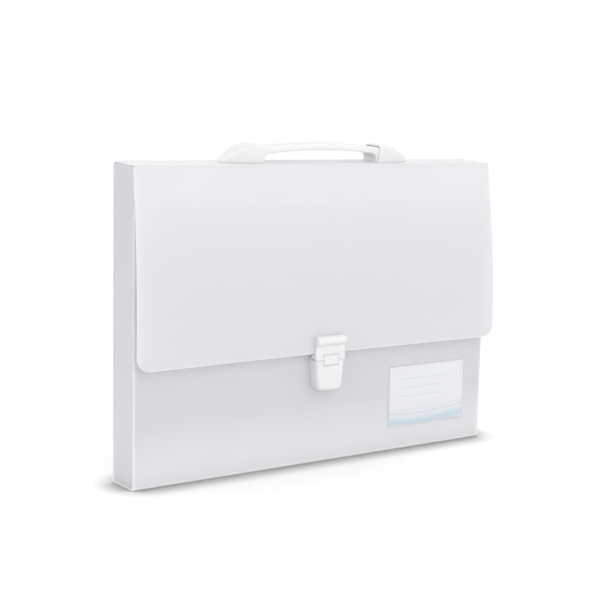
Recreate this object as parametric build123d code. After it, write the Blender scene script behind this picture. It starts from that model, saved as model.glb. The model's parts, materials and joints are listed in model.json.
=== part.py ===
from build123d import *
import math
import os

# Document carry case of folded polypropylene sheet, with a moulded handle and a push latch.
# X runs along the width, -Y is the front, Z is up. The origin is the middle of the base.
# All sizes are in millimetres.

# Case
case_width = 380.0
case_depth = 35.0
case_height = 265.0
sheet = 1.0
fold_radius = 1.6
front_panel_height = 234.0
front_corner_radius = 6.0
side_inset = 0.4
side_top_gap = 0.4
side_flange = 12.0
side_flange_cut = 8.0

# Creases, drawn as a round bead about each hinge axis
crease_bead = 0.6
crease_gap = 0.3

# Lid strip, which slopes down from the back crease to the front one
strip_rise = 2.2
strip_end_inset = 1.4
strip_corner_cut = 2.0

# Flap
flap_length = 164.5
flap_top_overhang = 0.5
flap_bottom_overhang = 3.5
flap_corner_radius = 12.5
flap_top_cut = 1.5
corner_standoff = 12.0
corner_belly = 9.3
middle_standoff = 8.5
middle_belly = 6.8

# Latch
latch_depth = 12.5
latch_width = 31.0
latch_wall = 2.0
latch_edge = 1.0
latch_seat_gap = 0.15
seam_below_flap = 5.7
seam_gap = 0.3
roll_radius = 4.4
roll_height = 17.1
roll_proud = 2.9
roll_step_radius = 0.8
under_flap_reach = 1.3
keel_gap = 0.5
keel_hollow = 0.9
keeper_width = 30.0
keeper_foot_width = 25.4
keeper_height = 27.0
keeper_corner_radius = 5.0
keeper_edge = 3.0
socket_width = 22.0
socket_depth = 22.0

# Press pad
pad_width = 15.5
pad_height = 9.0
pad_gap = 0.35
pad_proud = 0.5
pad_bevel = 0.7
pad_lip = 1.5
pad_lip_thickness = 1.2
pad_play = 0.3
pad_travel = 1.5

# Latch fixings
plate_thickness = 1.8
plate_corner_radius = 2.0
latch_plate_width = 26.0
latch_plate_height = 10.0
latch_pin_spacing = 18.0
latch_pin_drop = 3.2
pin_diameter = 3.0
pin_head_diameter = 5.4
pin_head_height = 1.0
pin_clearance = 0.1
pin_bite = 2.6
keeper_plate_width = 24.0
keeper_plate_height = 14.0
keeper_pin_spacing = 13.0
keeper_pin_drop = 15.0

# Name card and pocket
card_width = 90.0
card_height = 55.0
card_thickness = 0.4
card_from_right = 22.7
card_above_table = 22.8
pocket_film = 0.3
pocket_play = 0.1
pocket_weld = 2.0
pocket_side_play = 0.6
pocket_top_reach = 1.5

# Handle
handle_length = 200.0
cap_length = 37.8
cap_flat = 10.5
cap_height = 15.9
cap_depth = 23.0
cap_wall = 1.4
cap_rake = 1.5
cap_slope_bulge = 1.3
cap_toe_height = 2.2
cap_toe_width = 7.8
cap_toe_radius = 3.4
cap_shoulder = 3.5
cap_fit = 0.3
boss_diameter = 7.0
grip_height = 16.6
grip_end_height = 13.1
grip_thickness = 5.3
grip_edge = 0.8
grip_shoulder = 2.0
leg_reveal = 1.8
leg_thickness = 6.0
leg_fillet = 6.0
foot_thickness = 3.0
foot_length = 14.0
foot_depth = 14.0
handle_pin_place = 13.0
handle_pin_rise = 9.0
handle_plate_width = 18.0
handle_plate_depth = 16.0

# Places worked out from the sizes above
front_y = -case_depth / 2
hinge_y = case_depth / 2 - sheet / 2
hinge_z = case_height - sheet / 2
back_hinge_z = hinge_z + strip_rise
strip_width = math.hypot(2 * hinge_y, strip_rise)
strip_tilt = math.degrees(math.atan2(strip_rise, 2 * hinge_y))
strip_under_z = case_height - sheet
side_web_x = case_width / 2 - side_inset
side_top_z = strip_under_z - side_top_gap
back_panel_top_z = back_hinge_z - crease_bead - crease_gap
flap_bottom_z = hinge_z - flap_length
flap_face_y = front_y - middle_standoff
flap_back_y = flap_face_y + sheet
latch_front_y = front_y - latch_depth
seam_z = flap_bottom_z - seam_below_flap
keeper_top_z = seam_z - seam_gap
keeper_bottom_z = keeper_top_z - keeper_height
roll_z = seam_z + roll_height
roll_y = latch_front_y - roll_proud + roll_radius
latch_pin_z = roll_z - latch_pin_drop
keeper_pin_z = keeper_top_z - keeper_pin_drop
cap_inner_x = handle_length / 2 - cap_length
leg_x = cap_inner_x - leg_reveal


def on_side(section):
    """Put a flat (y, z) section on the middle plane, ready to be extruded along X."""
    return Plane.YZ * section


def on_front(section):
    """Put a flat (x, z) section on the plane Y = 0, facing the front."""
    return Plane.XZ * section


def along_x(section, length):
    return extrude(on_side(section), length / 2, both=True)


def block(x_low, x_high, y_low, y_high, z_low, z_high):
    """A plain box between two corners."""
    size = (x_high - x_low, y_high - y_low, z_high - z_low)
    centre = ((x_low + x_high) / 2, (y_low + y_high) / 2, (z_low + z_high) / 2)
    return Pos(*centre) * Box(*size)


def rod_y(x, z, diameter, y_low, y_high):
    """A cylinder that runs front to back."""
    return Pos(x, (y_low + y_high) / 2, z) * Rot(90, 0, 0) * Cylinder(diameter / 2, y_high - y_low)


def rod_z(x, y, diameter, z_low, z_high):
    """An upright cylinder."""
    return Pos(x, y, (z_low + z_high) / 2) * Cylinder(diameter / 2, z_high - z_low)


def bead_x(y, z, length):
    """The round bead of a crease, along its hinge axis."""
    return Pos(0, y, z) * Rot(0, 90, 0) * Cylinder(crease_bead, length)


def tilted(solid):
    """Turn a solid of the lid, drawn level, about the front crease to the slope of the strip."""
    return Pos(0, -hinge_y, hinge_z) * Rot(strip_tilt, 0, 0) * Pos(0, hinge_y, -hinge_z) * solid


def trough_section(depth, top, radius):
    """A (y, z) rectangle that stands on z = 0 with its two lower corners rounded."""
    section = Pos(0, top / 2) * Rectangle(depth, top)
    return fillet(section.vertices().group_by(Axis.Y)[0], radius)


def make_body_wrap():
    """Front panel, bottom and back panel, folded from one sheet."""
    outside = trough_section(case_depth, back_panel_top_z, fold_radius)
    inside = trough_section(case_depth - 2 * sheet, back_panel_top_z, fold_radius - sheet)
    over_front = block(-case_width, case_width, front_y - sheet, 0, front_panel_height, back_panel_top_z)
    wrap = along_x(outside - Pos(0, sheet) * inside, case_width) - over_front
    corners = wrap.edges().filter_by(Axis.Y).group_by(Axis.Z)[-2]
    front_corners = corners.filter_by(lambda edge: edge.center().Z > front_panel_height - sheet)
    wrap = fillet(front_corners, front_corner_radius)
    for x in (-keeper_pin_spacing / 2, keeper_pin_spacing / 2):
        wrap -= rod_y(x, keeper_pin_z, pin_diameter + 2 * pin_clearance, front_y - sheet, front_y + 2 * sheet)
    return wrap


def make_side_panel(side):
    """One side sheet with a flange folded in along the front, the back and the bottom."""
    inner_depth = case_depth - 2 * sheet
    plan = Pos(side_web_x - side_flange / 2, 0) * Rectangle(side_flange, inner_depth)
    plan = fillet(plan.vertices().group_by(Axis.X)[-1], fold_radius)
    hollow = Pos(side_web_x - sheet - side_flange / 2, 0) * Rectangle(side_flange, inner_depth - 2 * sheet)
    hollow = fillet(hollow.vertices().group_by(Axis.X)[-1], fold_radius - sheet)
    panel = Pos(0, 0, sheet) * extrude(plan, side_top_z + strip_rise)
    panel -= Pos(0, 0, 2 * sheet) * extrude(hollow, case_height)
    feet = panel.edges().filter_by(Axis.X).group_by(Axis.Z)[0]
    panel = fillet(feet, fold_radius - sheet)
    over_side = block(0, case_width, -case_depth, case_depth, side_top_z, side_top_z + case_depth)
    panel -= tilted(over_side)
    flange_end = side_web_x - side_flange
    tail = Polyline(
        (flange_end - sheet, side_top_z - side_flange_cut),
        (flange_end, side_top_z - side_flange_cut),
        (flange_end + side_flange_cut, side_top_z),
        (flange_end + side_flange_cut, case_height + strip_rise),
        (flange_end - sheet, case_height + strip_rise),
        close=True,
    )
    panel -= extrude(on_front(make_face(tail)), case_depth, both=True)
    if side < 0:
        panel = mirror(panel, Plane.YZ)
    return panel


def make_lid_strip():
    """The top strip, drawn level, with the crease bead it turns on along its back edge."""
    front_end = -hinge_y + crease_bead + crease_gap
    back_end = -hinge_y + strip_width
    half = case_width / 2 - strip_end_inset
    strip = block(-half, half, front_end, back_end, strip_under_z, case_height)
    front_corners = strip.edges().filter_by(Axis.Z).group_by(Axis.Y)[0]
    strip = chamfer(front_corners, strip_corner_cut)
    strip += bead_x(back_end, hinge_z, 2 * half)
    for x in handle_pin_places():
        strip -= rod_z(x, 0, pin_diameter + 2 * pin_clearance, strip_under_z - sheet, case_height + sheet)
    return strip


def flap_section(belly, standoff):
    """A (y, z) section of the flap: a thin arc that hangs from the crease and bows outwards."""
    top = Vector(-hinge_y, hinge_z)
    middle = Vector(-hinge_y - belly, hinge_z - flap_length / 2)
    bottom = Vector(-hinge_y - standoff, hinge_z - flap_length)
    centre = ThreePointArc(top, middle, bottom).arc_center
    outer = []
    inner = []
    for point in (top, middle, bottom):
        radial = (point - centre).normalized() * (sheet / 2)
        outer.append(point + radial)
        inner.append(point - radial)
    outline = [
        ThreePointArc(*outer),
        Line(outer[2], inner[2]),
        ThreePointArc(*inner),
        Line(inner[0], outer[0]),
    ]
    return make_face(outline)


def make_lid_flap():
    """The front flap: bowed down its length, drawn in at the latch, with round lower corners."""
    reach = case_width / 2 + flap_bottom_overhang + 1
    sections = []
    for x, belly, standoff in (
        (-reach, corner_belly, corner_standoff),
        (0, middle_belly, middle_standoff),
        (reach, corner_belly, corner_standoff),
    ):
        sections.append(Plane.YZ.offset(x) * flap_section(belly, standoff))
    shell = loft(sections)
    top_half = case_width / 2 + flap_top_overhang
    bottom_half = case_width / 2 + flap_bottom_overhang
    outline = Polyline(
        (-bottom_half, flap_bottom_z),
        (bottom_half, flap_bottom_z),
        (top_half, case_height + sheet),
        (-top_half, case_height + sheet),
        close=True,
    )
    outline = make_face(outline)
    outline = fillet(outline.vertices().group_by(Axis.Y)[0], flap_corner_radius)
    outline = chamfer(outline.vertices().group_by(Axis.Y)[-1], flap_top_cut)
    flap = shell & extrude(on_front(outline), case_depth * 2, both=True)
    flap += bead_x(-hinge_y, hinge_z, 2 * (top_half - flap_top_cut))
    pin_hole = pin_diameter + 2 * pin_clearance
    for x in latch_pin_places():
        flap -= rod_y(x, latch_pin_z, pin_hole, flap_face_y - sheet, flap_back_y + sheet)
    return flap


def latch_pin_places():
    return (-latch_pin_spacing / 2, latch_pin_spacing / 2)


def pad_window(gap):
    """The (x, z) outline of the press pad, grown by a gap."""
    return Pos(0, seam_z) * Rectangle(pad_width + 2 * gap, pad_height + 2 * gap)


def make_latch_housing():
    """Upper half of the latch: front plate, finger roll, and a keel that flares back under the flap."""
    seat_y = flap_face_y - latch_seat_gap
    shoulder_z = flap_bottom_z - seam_gap
    keel_foot = (front_y - keel_gap, seam_z)
    keel_top = (flap_back_y + under_flap_reach, shoulder_z)
    plate = [
        SagittaArc(keel_foot, keel_top, keel_hollow),
        Polyline(
            keel_top,
            (seat_y, shoulder_z),
            (seat_y, roll_z),
            (latch_front_y, roll_z),
            (latch_front_y, seam_z),
            keel_foot,
        ),
    ]
    behind_flap = Pos(seat_y + roll_radius, roll_z) * Rectangle(2 * roll_radius, 4 * roll_radius)
    roll = Pos(roll_y, roll_z) * Circle(roll_radius) - behind_flap
    housing = along_x(make_face(plate) + roll, latch_width)
    step = housing.edges().filter_by(Axis.X).filter_by(
        lambda edge: abs(edge.center().Y - latch_front_y) < 0.01 and edge.center().Z > seam_z + pad_height
    )
    housing = fillet(step, roll_step_radius)
    ends = housing.edges().filter_by(lambda edge: abs(abs(edge.center().X) - latch_width / 2) < 0.01)
    rims = ends.filter_by(lambda edge: edge.center().Y < flap_face_y - sheet)
    housing = chamfer(rims, latch_edge)
    window = extrude(on_front(pad_window(pad_gap)), case_depth, both=True)
    mouth = block(-case_width, case_width, latch_front_y - 1, latch_front_y + latch_wall + 1, 0, case_height)
    housing -= window & mouth
    lip_half = pad_width / 2 + pad_lip + pad_gap
    cavity_back = latch_front_y + latch_wall + pad_lip_thickness + pad_travel + 2 * pad_play
    housing -= block(-lip_half, lip_half, latch_front_y + latch_wall, cavity_back, seam_z - 1, shoulder_z)
    for x in latch_pin_places():
        pin_end = flap_face_y - pin_bite - pin_clearance
        housing -= rod_y(x, latch_pin_z, pin_diameter + 2 * pin_clearance, pin_end, flap_back_y)
    return housing


def make_latch_keeper():
    """Lower half of the latch: a tapered socket with a notch for the press pad in its front wall."""
    outline = Polyline(
        (-keeper_width / 2, keeper_top_z),
        (keeper_width / 2, keeper_top_z),
        (keeper_foot_width / 2, keeper_bottom_z),
        (-keeper_foot_width / 2, keeper_bottom_z),
        close=True,
    )
    outline = make_face(outline)
    outline = fillet(outline.vertices().group_by(Axis.Y)[0], keeper_corner_radius)
    keeper = Pos(0, front_y, 0) * extrude(on_front(outline), latch_depth)
    front_edges = keeper.faces().sort_by(Axis.Y)[0].edges()
    side_edges = front_edges.filter_by(lambda edge: edge.center().Z < keeper_top_z - 0.01)
    keeper = fillet(side_edges, keeper_edge)
    socket_half = socket_width / 2
    socket_front = latch_front_y + latch_wall
    socket_back = front_y - latch_wall
    keeper -= block(-socket_half, socket_half, socket_front, socket_back, keeper_top_z - socket_depth, seam_z)
    window = extrude(on_front(pad_window(pad_gap)), case_depth, both=True)
    mouth = block(-case_width, case_width, latch_front_y - 1, socket_front + 1, 0, case_height)
    keeper -= window & mouth
    for x in (-keeper_pin_spacing / 2, keeper_pin_spacing / 2):
        keeper -= rod_y(x, keeper_pin_z, pin_diameter + 2 * pin_clearance, socket_back - 1, front_y + 1)
    return keeper


def make_press_pad():
    """The pad that is pushed in to open the latch, with the lip that keeps it in the housing."""
    front = latch_front_y - pad_proud
    lip_front = latch_front_y + latch_wall + pad_play
    lip_back = lip_front + pad_lip_thickness
    pad = Pos(0, lip_back, 0) * extrude(on_front(pad_window(0)), lip_back - front)
    pad = chamfer(pad.faces().sort_by(Axis.Y)[0].edges(), pad_bevel)
    lip_half = pad_width / 2 + pad_lip
    lip_top = seam_z + seam_below_flap - seam_gap - pad_gap
    pad += block(-lip_half, lip_half, lip_front, lip_back, seam_z + pad_gap, lip_top)
    return pad


def make_plate(width, height):
    """A flat plate with round corners, its thickness along +Z from z = 0."""
    return extrude(RectangleRounded(width, height, plate_corner_radius), plate_thickness)


def make_latch_backplate():
    """Plate behind the flap that the latch housing is riveted to."""
    back = flap_back_y + plate_thickness
    plate = Pos(0, back, latch_pin_z) * Rot(90, 0, 0) * make_plate(latch_plate_width, latch_plate_height)
    for x in latch_pin_places():
        plate -= rod_y(x, latch_pin_z, pin_diameter + 2 * pin_clearance, flap_back_y - 1, back + 1)
    return plate


def make_latch_rivets():
    """Two rivets through the back plate and the flap, blind in the housing."""
    rivets = []
    head_y = flap_back_y + plate_thickness
    for x in latch_pin_places():
        rivet = rod_y(x, latch_pin_z, pin_diameter, flap_face_y - pin_bite, head_y)
        rivet += rod_y(x, latch_pin_z, pin_head_diameter, head_y, head_y + pin_head_height)
        rivets.append(rivet)
    return Compound(rivets)


def make_keeper_backplate():
    """Plate inside the front panel that the keeper is riveted to."""
    inside_y = front_y + sheet
    back = inside_y + plate_thickness
    plate = Pos(0, back, keeper_pin_z) * Rot(90, 0, 0) * make_plate(keeper_plate_width, keeper_plate_height)
    for x in (-keeper_pin_spacing / 2, keeper_pin_spacing / 2):
        plate -= rod_y(x, keeper_pin_z, pin_diameter + 2 * pin_clearance, inside_y - 1, back + 1)
    return plate


def make_keeper_rivets():
    """Two rivets from the socket's back wall, through the front panel, to the inner plate."""
    rivets = []
    outer_y = front_y - latch_wall
    inner_y = front_y + sheet + plate_thickness
    for x in (-keeper_pin_spacing / 2, keeper_pin_spacing / 2):
        rivet = rod_y(x, keeper_pin_z, pin_diameter, outer_y, inner_y)
        rivet += rod_y(x, keeper_pin_z, pin_head_diameter, outer_y - pin_head_height, outer_y)
        rivet += rod_y(x, keeper_pin_z, pin_head_diameter, inner_y, inner_y + pin_head_height)
        rivets.append(rivet)
    return Compound(rivets)


def card_box(left_right, bottom, top, y_near, y_far):
    """A box around the name card, grown at its sides, bottom and top, between two depths."""
    right = case_width / 2 - card_from_right
    left = right - card_width
    low = card_above_table - bottom
    high = card_above_table + card_height + top
    return block(left - left_right, right + left_right, front_y - y_far, front_y - y_near, low, high)


def make_name_card():
    """The paper card in the pocket."""
    return card_box(0, 0, 0, 0, card_thickness)


def make_card_pocket():
    """Clear film pocket, welded round three sides and open at the top."""
    room = card_thickness + pocket_play
    grown = pocket_side_play + pocket_weld
    pocket = card_box(grown, grown, pocket_top_reach, 0, room + pocket_film)
    return pocket - card_box(pocket_side_play, pocket_side_play, pocket_top_reach + 1, 0, room)


def handle_pin_places():
    return (-leg_x - handle_pin_place, leg_x + handle_pin_place)


def cap_plan(wall, start_x):
    """The (x, y) outline of a cap: square at its inner end, its sides drawn in to a blunt toe."""
    half = cap_depth / 2 - wall
    toe_half = cap_toe_width / 2 - wall
    end_x = handle_length / 2 - wall
    outline = [
        Line((start_x, half), (start_x, -half)),
        Line((start_x, -half), (cap_inner_x, -half)),
        TangentArc((cap_inner_x, -half), (end_x, -toe_half), tangent=(1, 0)),
        Line((end_x, -toe_half), (end_x, toe_half)),
        TangentArc((cap_inner_x, half), (end_x, toe_half), tangent=(1, 0)),
        Line((cap_inner_x, half), (start_x, half)),
    ]
    plan = make_face(outline)
    return fillet(plan.vertices().group_by(Axis.X)[-1], cap_toe_radius - wall)


def cap_profile(wall, start_x):
    """The (x, z) outline of a cap: a raked inner end, a flat top and a long slope to the toe."""
    end_x = handle_length / 2 - wall
    top_z = case_height + cap_height - wall
    toe_z = case_height + cap_toe_height - wall
    slope_start = cap_inner_x + cap_flat
    outline = [
        Line((start_x, case_height), (start_x + cap_rake, top_z)),
        Line((start_x + cap_rake, top_z), (slope_start, top_z)),
        SagittaArc((slope_start, top_z), (end_x, toe_z), cap_slope_bulge),
        Line((end_x, toe_z), (end_x, case_height)),
        Line((end_x, case_height), (start_x, case_height)),
    ]
    return make_face(outline)


def cap_block(wall, start_x):
    """The body of a cap, where its plan, profile and round-shouldered section meet."""
    height = cap_height - wall
    section = Pos(0, case_height + height / 2) * Rectangle(cap_depth - 2 * wall, height)
    section = fillet(section.vertices().group_by(Axis.Y)[-1], cap_shoulder - wall)
    tall = Pos(0, 0, case_height) * extrude(cap_plan(wall, start_x), cap_height)
    long = extrude(on_front(cap_profile(wall, start_x)), cap_depth, both=True)
    return tall & long & along_x(section, case_width)


def make_handle_cap(side):
    """One end cap: a hollow shell, open at its inner end, with a boss for its rivet."""
    base_x = cap_inner_x - cap_rake / 2
    outside = cap_block(0, base_x)
    cap = outside - cap_block(cap_wall, base_x - cap_rake)
    pin_x = handle_pin_places()[1]
    foot_top = case_height + foot_thickness
    boss = rod_z(pin_x, 0, boss_diameter, foot_top + cap_fit, case_height + cap_height)
    cap += boss & outside
    pin_top = foot_top + handle_pin_rise + pin_clearance
    cap -= rod_z(pin_x, 0, pin_diameter + 2 * pin_clearance, case_height, pin_top)
    if side < 0:
        cap = mirror(cap, Plane.YZ)
    return cap


def make_handle_grip():
    """The grip: an arched strap with a leg at each end and a narrower foot under each cap."""
    top_z = case_height + grip_height
    end_z = case_height + grip_end_height
    foot_z = case_height + foot_thickness
    leg_out = leg_x + leg_thickness
    profile = [
        Line((-leg_out, case_height), (-leg_out, end_z)),
        ThreePointArc((-leg_out, end_z), (0, top_z), (leg_out, end_z)),
        Line((leg_out, end_z), (leg_out, case_height)),
        Line((leg_out, case_height), (leg_x, case_height)),
        Line((leg_x, case_height), (leg_x, end_z - grip_thickness)),
        ThreePointArc(
            (leg_x, end_z - grip_thickness),
            (0, top_z - grip_thickness),
            (-leg_x, end_z - grip_thickness),
        ),
        Line((-leg_x, end_z - grip_thickness), (-leg_x, case_height)),
        Line((-leg_x, case_height), (-leg_out, case_height)),
    ]
    depth = cap_depth - 2 * (cap_wall + cap_fit)
    grip = extrude(on_front(make_face(profile)), depth / 2, both=True)
    armpits = grip.edges().filter_by(Axis.Y).filter_by(
        lambda edge: abs(edge.center().Z - (end_z - grip_thickness)) < 0.01
    )
    grip = fillet(armpits, leg_fillet)
    shoulders = grip.edges().filter_by(Axis.Y).group_by(Axis.Z)[-1]
    grip = fillet(shoulders, grip_shoulder)
    arches = grip.edges().filter_by(GeomType.CIRCLE).filter_by(lambda edge: edge.length > leg_x)
    grip = chamfer(arches, grip_edge)
    for side in (-1, 1):
        near, far = sorted((side * leg_x, side * (leg_out + foot_length)))
        grip += block(near, far, -foot_depth / 2, foot_depth / 2, case_height, foot_z)
    for x in handle_pin_places():
        grip -= rod_z(x, 0, pin_diameter + 2 * pin_clearance, case_height - 1, foot_z + 1)
    return grip


def make_handle_backplate(side):
    """Plate under the strip that one end of the handle is riveted to."""
    x = side * (leg_x + handle_pin_place)
    under = strip_under_z - plate_thickness
    plate = Pos(x, 0, under) * make_plate(handle_plate_width, handle_plate_depth)
    return plate - rod_z(x, 0, pin_diameter + 2 * pin_clearance, under - 1, strip_under_z + 1)


def make_handle_rivets():
    """Two rivets up through the inner plates, the strip and the feet, into the caps' bosses."""
    rivets = []
    head_z = strip_under_z - plate_thickness
    top_z = case_height + foot_thickness + handle_pin_rise
    for x in handle_pin_places():
        rivet = rod_z(x, 0, pin_diameter, head_z, top_z)
        rivet += rod_z(x, 0, pin_head_diameter, head_z - pin_head_height, head_z)
        rivets.append(rivet)
    return Compound(rivets)


def build():
    lid = {
        "lid_strip": make_lid_strip(),
        "handle_grip": make_handle_grip(),
        "handle_cap_left": make_handle_cap(-1),
        "handle_cap_right": make_handle_cap(1),
        "handle_backplate_left": make_handle_backplate(-1),
        "handle_backplate_right": make_handle_backplate(1),
        "handle_rivets": make_handle_rivets(),
    }
    lid = {name: tilted(solid) for name, solid in lid.items()}
    return {
        "body_wrap": make_body_wrap(),
        "side_panel_left": make_side_panel(-1),
        "side_panel_right": make_side_panel(1),
        "latch_keeper": make_latch_keeper(),
        "keeper_backplate": make_keeper_backplate(),
        "keeper_rivets": make_keeper_rivets(),
        "card_pocket": make_card_pocket(),
        "name_card": make_name_card(),
        **lid,
        "lid_flap": make_lid_flap(),
        "latch_housing": make_latch_housing(),
        "latch_backplate": make_latch_backplate(),
        "latch_rivets": make_latch_rivets(),
        "press_pad": make_press_pad(),
    }


os.makedirs("parts", exist_ok=True)
for name, solid in build().items():
    export_step(solid, f"parts/{name}.step")
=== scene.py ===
import bpy
import functools
import json
import math
from bpy.props import FloatProperty, FloatVectorProperty, PointerProperty
from mathutils import Matrix, Vector


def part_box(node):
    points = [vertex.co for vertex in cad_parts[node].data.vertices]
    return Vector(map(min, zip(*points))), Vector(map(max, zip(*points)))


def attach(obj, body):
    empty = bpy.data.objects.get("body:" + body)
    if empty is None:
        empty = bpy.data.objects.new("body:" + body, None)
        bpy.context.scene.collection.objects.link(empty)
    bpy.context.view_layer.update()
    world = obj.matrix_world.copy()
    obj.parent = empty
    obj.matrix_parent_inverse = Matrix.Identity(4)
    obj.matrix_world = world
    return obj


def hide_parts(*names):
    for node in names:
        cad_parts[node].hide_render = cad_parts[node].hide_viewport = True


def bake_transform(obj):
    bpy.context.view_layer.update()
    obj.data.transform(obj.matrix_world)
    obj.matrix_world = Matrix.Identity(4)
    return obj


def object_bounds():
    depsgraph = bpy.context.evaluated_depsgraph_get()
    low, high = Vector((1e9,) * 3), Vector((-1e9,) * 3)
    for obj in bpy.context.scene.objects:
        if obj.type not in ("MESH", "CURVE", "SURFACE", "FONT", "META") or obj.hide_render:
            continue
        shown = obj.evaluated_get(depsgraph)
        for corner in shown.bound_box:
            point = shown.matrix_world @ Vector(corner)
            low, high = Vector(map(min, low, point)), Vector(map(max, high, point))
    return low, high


bl_info = {
    "name": "Document folder dresser",
    "version": (1, 0, 0),
    "blender": (4, 5, 0),
    "location": "View3D > Sidebar > Document folder",
    "description": "Dresses the packed document folder: milky sheet, creases, mouldings, card and studio",
    "category": "Object",
}

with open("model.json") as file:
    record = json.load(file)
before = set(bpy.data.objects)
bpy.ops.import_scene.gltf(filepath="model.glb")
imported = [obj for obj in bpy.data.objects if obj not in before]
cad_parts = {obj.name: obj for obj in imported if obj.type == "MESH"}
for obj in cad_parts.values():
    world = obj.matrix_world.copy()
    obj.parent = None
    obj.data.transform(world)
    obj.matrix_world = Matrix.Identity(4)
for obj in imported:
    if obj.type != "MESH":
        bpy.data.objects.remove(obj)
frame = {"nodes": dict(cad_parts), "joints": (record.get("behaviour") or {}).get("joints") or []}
CAD_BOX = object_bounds()
MM = 0.001
DOUBLES = 0.005 * MM    # points nearer than this are merged

# Where the CAD says the main pieces are
WRAP_LOW, WRAP_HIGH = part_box("body_wrap")
STRIP_LOW, STRIP_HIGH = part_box("lid_strip")
FLAP_LOW, FLAP_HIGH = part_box("lid_flap")
HOUSING_LOW, HOUSING_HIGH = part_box("latch_housing")
CARD_LOW, CARD_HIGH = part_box("name_card")
POCKET_LOW, POCKET_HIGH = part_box("card_pocket")
KEEPER_LOW, KEEPER_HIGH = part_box("latch_keeper")
PAD_LOW, PAD_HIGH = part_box("press_pad")
JOINTS = {joint["name"]: joint for joint in frame["joints"]}
LID_AXIS = Vector(JOINTS["lid_hinge"]["pos_m"])
FLAP_AXIS = Vector(JOINTS["flap_hinge"]["pos_m"])


# Settings

def length_setting(name, description, default, **limits):
    """A size that a user may change, in metres."""
    return FloatProperty(name=name, description=description, unit="LENGTH", default=default, **limits)


def share_setting(name, description, default):
    """A share from 0 to 1 that a user may change."""
    return FloatProperty(name=name, description=description, subtype="FACTOR", min=0.0, max=1.0,
                         default=default)


def colour_setting(name, description, default):
    """A colour that a user may change."""
    return FloatVectorProperty(name=name, description=description, default=default,
                               subtype="COLOR", size=3, min=0.0, max=1.0)


class FolderSheetSettings(bpy.types.PropertyGroup):
    """Colours and surface of the milky sheet."""

    colour: colour_setting("Sheet colour", "Base colour of the milky sheet", (0.712, 0.708, 0.734))
    # Painted highlight: cut edges and pressed creases get this paler colour in place of the light that they
    # catch.
    painted_edge_highlight: colour_setting(
        "Edge colour", "Colour of cut edges and pressed creases, which catch the light", (0.86, 0.86, 0.875))
    see_through: share_setting("See-through", "How clear the sheet is to look through", 0.08)
    roughness: share_setting("Roughness", "Roughness of the satin surface", 0.42)
    # Painted glow: edges and creases emit light, though they are no lamp.
    painted_edge_glow: FloatProperty(
        name="Edge glow", description="Light that runs inside the sheet and leaves at its edges and creases",
        min=0.0, max=1.0, default=0.2)
    passing: share_setting(
        "Passing light", "Share of the room's light that passes on to what is behind", 0.55)
    milk_depth: length_setting(
        "Milk depth", "How far light spreads inside the milky sheet", 2.0 * MM, min=0.0)
    emboss_pitch: length_setting(
        "Emboss pitch", "Distance between the fine embossed lines", 1.1 * MM, min=0.0002, max=0.01)
    emboss_depth: length_setting("Emboss depth", "Depth of the fine emboss", 0.02 * MM, min=0.0, max=0.001)


class FolderFlapSettings(bpy.types.PropertyGroup):
    """Outline of the front flap, which takes its bow from the CAD flap."""

    top_width: length_setting("Top width", "Width of the flap at its crease", 381.0 * MM)
    bottom_width: length_setting(
        "Bottom width", "Width of the flap at its lower edge, before its corners are rounded", 387.0 * MM)
    corner_radius: length_setting("Corner radius", "Radius of the two lower corners", 12.5 * MM)
    top_cut: length_setting("Top cut", "Small cut at each end of the crease", 1.5 * MM)
    thickness: length_setting("Sheet thickness", "Thickness of the folded sheet", 1.0 * MM)
    rim: length_setting("Rim radius", "Rounding of the flap's cut edge", 0.3 * MM)


class FolderLatchSettings(bpy.types.PropertyGroup):
    """Shape of the moulded push latch."""

    plate_back: length_setting("Plate thickness", "From the latch's front face to the flap", 3.85 * MM)
    roll_radius: length_setting(
        "Roll radius", "Radius of the finger roll along the top of the latch", 4.4 * MM)
    roll_proud: length_setting(
        "Roll proud", "How far the finger roll stands out from the front face", 2.9 * MM)
    shoulder: length_setting(
        "Keel height", "Height of the keel that flares back under the flap's edge", 5.4 * MM)
    soft_edge: length_setting("Soft edge", "Rounding of the housing's outer edges", 1.0 * MM)
    keeper_taper: FloatProperty(
        name="Keeper taper", description="Width of the keeper's foot over that of its top",
        subtype="FACTOR", min=0.5, max=1.0, default=25.4 / 30.0)
    keeper_corner: length_setting("Keeper corner", "Radius of the keeper's two lower corners", 5.0 * MM)
    keeper_edge: length_setting("Keeper edge", "Radius along the keeper's front edges", 3.0 * MM)
    wall: length_setting("Wall", "Wall of the hollow keeper", 2.0 * MM)
    pad_gap: length_setting("Pad gap", "Gap all round the press pad", 0.4 * MM)
    pad_size: FloatVectorProperty(
        name="Pad size", description="Width and height of the press pad",
        subtype="XYZ_LENGTH", size=2, default=(15.5 * MM, 9.0 * MM))


class FolderMouldingSettings(bpy.types.PropertyGroup):
    """Colour and finish of the white mouldings."""

    colour: colour_setting(
        "Moulding colour", "Base colour of the latch and the handle", (0.865, 0.866, 0.872))
    roughness: share_setting("Roughness", "Roughness of the mouldings", 0.35)
    passing: share_setting(
        "Passing light", "Share of the room's light that passes through a thin moulded wall", 0.4)
    milk_depth: length_setting("Milk depth", "How far light spreads inside the moulding", 3.0 * MM, min=0.0)
    grain_depth: length_setting(
        "Grain depth", "Depth of the fine spark grain", 0.012 * MM, min=0.0, max=0.001)


class FolderCardSettings(bpy.types.PropertyGroup):
    """Colours of the plain name card and its film."""

    paper: colour_setting("Paper colour", "Colour of the card stock", (0.84, 0.848, 0.862))
    band: colour_setting("Band colour", "Colour of the plain printed band", (0.52, 0.70, 0.80))
    rule: colour_setting("Rule colour", "Colour of the lines to write on", (0.62, 0.66, 0.70))


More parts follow.
